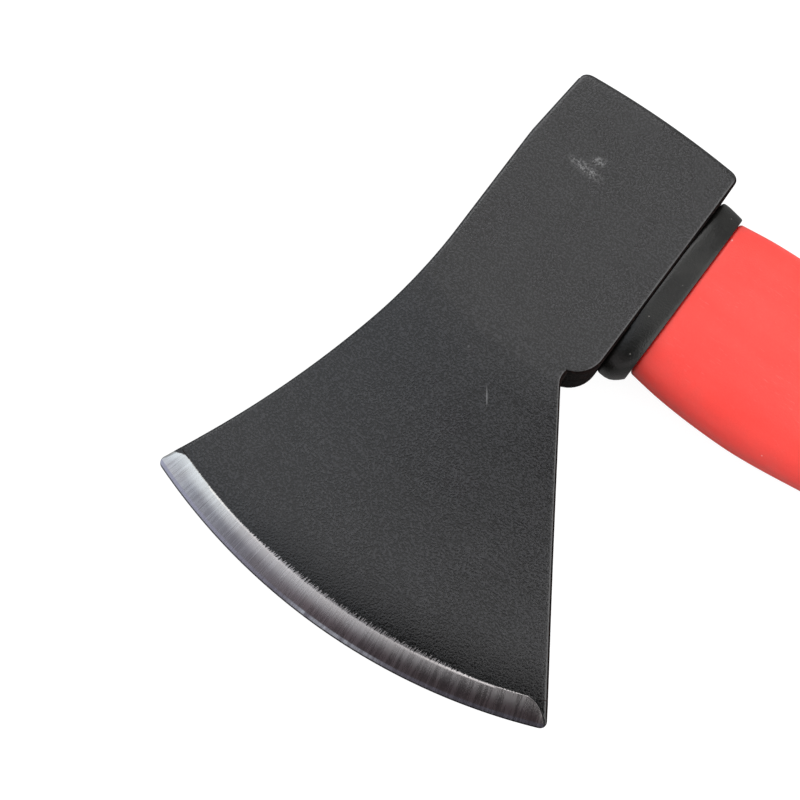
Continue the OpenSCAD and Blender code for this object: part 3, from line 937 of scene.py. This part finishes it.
grip_rubber, tree, shader = matter("grip_rubber", Specular_IOR_Level=0.36)
place = own_place(tree)
surface = use(tree, pebble, Place=place, Grain=0.4, Drift=24.0)
handling = use(tree, dust, Place=place, Gap=3.2, Share=0.22)
proud = put(tree, "ShaderNodeAttribute", attribute_name="raised").outputs["Fac"]
color = blend(tree, surface["Tone"], (0.017, 0.017, 0.018, 1), (0.030, 0.030, 0.031, 1))
# Dirt settles in the furrows, and the hand polishes the tops.
dirt = between(tree, surface["Tone"], 0.2, 0.9, 0.06, 0.2)
color = blend(tree, times(tree, between(tree, proud, 0.35, 0.0), dirt), color, (0.26, 0.23, 0.20, 1))
color = tinge(tree, color, handling["Film"], 0.06, (0.25, 0.23, 0.21, 1))
color = tinge(tree, color, handling["Specks"], 0.3, (0.4, 0.37, 0.33, 1))
polish = between(tree, handling["Film"], 0.0, 1.0, 0.04, 0.16)
polish = times(tree, between(tree, proud, 0.6, 1.0), polish)
roughness = reckon(tree, "SUBTRACT", between(tree, surface["Tone"], 0.0, 1.0, 0.56, 0.68), polish)
dress(tree, shader, color, roughness, surface["Height"], 0.045)
paint(grip, grip_rubber)

relief = grip.modifiers.new("relief", "NODES")
relief.node_group = knurl
socket_of = {item.name: item.identifier for item in knurl.interface.items_tree if item.in_out == "INPUT"}
relief[socket_of["Material"]] = grip_rubber
settle(grip, "relief", 50)
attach(grip, "root")
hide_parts("grip_sleeve")


# ---- Knob ----
# Harder black rubber, moulded over the tenon's end. It flares towards the edge side so that the hand
# can't slip off, and has three finger grooves, and a flat seat round each end of the hanging hole.

hang_x, hang_y = butt_x + 19, 7.4
hole_r = 5.2
seat_r = 8.15
seat_z = 12.4
butt_round = 3.0


def knob_inset(x):
    """How deep the grooves below the grip cut into the knob at x."""
    depth, first_down, spacing = 0.55, 4.2, 4.4
    down = knob_top_x - x
    if not 1.9 < down < 15.3:
        return 0.0
    return depth * max(0.0, math.cos(math.pi * (down - first_down) / spacing)) ** 3


knob_count = 144
knob_turns = np.arange(knob_count) * 2 * math.pi / knob_count
knob_loops = [pinched(tenon_end_x, end_middle, mid_z, knob_count)]
knob_loops += [handle_loop(x, grip_wall, knob_turns) for x in np.linspace(tenon_end_x, knob_top_x, 5)]
knob_loops += [handle_loop(x, inset, knob_turns) for x, inset in rolled(knob_top_x, 0.6, -1)]
grooved_x = np.arange(knob_top_x - 1.0, knob_top_x - 16, -0.4)
plain_x = np.arange(knob_top_x - 17, butt_x + butt_round, -1.6)
knob_loops += [handle_loop(x, knob_inset(x), knob_turns) for x in np.concatenate([grooved_x, plain_x])]
for a in np.radians(np.linspace(0, 84, 10)):
    x = butt_x + butt_round * (1 - math.sin(a))
    knob_loops.append(handle_loop(x, butt_round * (1 - math.cos(a)), knob_turns))
knob_loops += [handle_loop(butt_x, inset, knob_turns) for inset in (3.4, 8, 12.5)]
knob_loops.append(pinched(butt_x, handle_size(butt_x)[:2].mean(), mid_z, knob_count))
knob = skin("butt_end", knob_loops)


def round_loop(radius, z, count=72):
    """Circle round the hanging hole's axis."""
    turns = np.arange(count) * 2 * math.pi / count
    x, y = hang_x + radius * np.cos(turns), hang_y + radius * np.sin(turns)
    return np.column_stack([x, y, np.full(count, z)])


drill = [(0, -30), (hole_r, -30), (hole_r, 30), (0, 30)]
cut_away(knob, skin("drill", [round_loop(r, mid_z + z) for r, z in drill]))
for side in (-1, 1):
    spotface = [(0, 30), (seat_r, 30), (seat_r, seat_z), (0, seat_z)]
    cut_away(knob, skin("spotface", [round_loop(r, mid_z + side * z) for r, z in spotface]))

hard_rubber, tree, shader = matter("knob_rubber", Specular_IOR_Level=0.42)
place = own_place(tree)
surface = use(tree, pebble, Place=place, Grain=0.75, Drift=18.0)
handling = use(tree, dust, Place=place, Gap=3.6, Share=0.2)
scratched = use(tree, hairlines, Place=place, Width=0.16, Share=0.7)["Lines"]
color = blend(tree, surface["Tone"], (0.018, 0.018, 0.018, 1), (0.032, 0.031, 0.031, 1))
color = tinge(tree, color, handling["Film"], 0.10, (0.25, 0.23, 0.21, 1))
color = tinge(tree, color, handling["Specks"], 0.3, (0.4, 0.37, 0.33, 1))
color = tinge(tree, color, scratched, 0.2, (0.2, 0.19, 0.18, 1))
# Standing the axe on its butt scuffs the end grey.
down_mm = times(tree, put(tree, "ShaderNodeSeparateXYZ", {0: place}).outputs[0], 1 / MM)
butt_scuff = between(tree, cloud(tree, place, 1.6, 4, 0.7), 0.42, 0.66)
butt_scuff = times(tree, between(tree, down_mm, butt_x + 2.2, butt_x + 0.2), butt_scuff)
color = tinge(tree, color, butt_scuff, 0.5, (0.17, 0.16, 0.15, 1))
roughness = between(tree, surface["Tone"], 0.0, 1.0, 0.46, 0.6)
roughness = scaled(tree, butt_scuff, 0.2, roughness)
height = reckon(tree, "SUBTRACT", surface["Height"], times(tree, butt_scuff, 0.8))
dress(tree, shader, color, roughness, height, 0.07)
paint(knob, hard_rubber)
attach(knob, "root")
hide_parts("butt_knob")


# ---- Hanging eyelet ----
# Nickel-plated steel tube, turned and then flared over at both ends, so that its flanges clamp the
# knob's seats and a hook or a cord can't cut the rubber.

bore_r = 4.2
flange_r = 8.0
flange_t = 0.8
eyelet_half = 13.2
roll_r = 1.0
rim_soft = 0.35
upper = [(bore_r, -0.001), (bore_r, eyelet_half - roll_r)]
upper += [(bore_r + roll_r * (1 - math.cos(a)), eyelet_half - roll_r * (1 - math.sin(a)))
          for a in np.radians(np.linspace(12, 90, 8))]
upper += [(flange_r - rim_soft * (1 - math.sin(a)), eyelet_half - rim_soft * (1 - math.cos(a)))
          for a in np.radians(np.linspace(0, 90, 5))]
upper += [(flange_r, eyelet_half - flange_t + 0.1), (flange_r - 0.1, eyelet_half - flange_t)]
upper += [(hole_r, eyelet_half - flange_t)]
profile = upper + [(r, -z) for r, z in reversed(upper)]
eyelet = skin("eyelet_tube", [round_loop(r, mid_z + z, 96) for r, z in profile], ring=True)
nickel, tree, shader = matter("nickel_plate", Metallic=1.0)
place = own_place(tree)
laid = {"Vector": place, "Location": (-hang_x * MM, -hang_y * MM, 0)}
centred = put(tree, "ShaderNodeMapping", laid).outputs[0]
flat = put(tree, "ShaderNodeVectorMath", {0: centred, 1: (1, 1, 0)}, operation="MULTIPLY").outputs[0]
out_mm = put(tree, "ShaderNodeVectorMath", {0: flat}, operation="LENGTH").outputs["Value"]
out_mm = times(tree, out_mm, 1 / MM)
depth_mm = times(tree, put(tree, "ShaderNodeSeparateXYZ", {0: place}).outputs[2], 1 / MM)
turned = use(tree, tool_lines, Across=reckon(tree, "ADD", out_mm, depth_mm), Run=0.0, Pitch=0.22)
stains = between(tree, cloud(tree, place, 2.4, 4, 0.65), 0.45, 0.7)
scratched = use(tree, hairlines, Place=place, Width=0.1, Share=0.9)["Lines"]
color = blend(tree, turned["Tone"], (0.52, 0.50, 0.46, 1), (0.68, 0.66, 0.61, 1))
color = tinge(tree, color, stains, 0.4, (0.30, 0.25, 0.19, 1))
color = tinge(tree, color, scratched, 0.4, (0.85, 0.84, 0.82, 1))
roughness = between(tree, turned["Tone"], 0.0, 1.0, 0.34, 0.24)
roughness = scaled(tree, stains, 0.16, roughness)
dress(tree, shader, color, roughness, turned["Height"], 0.02)
paint(eyelet, nickel)
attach(eyelet, "root")
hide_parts("hanging_eyelet")
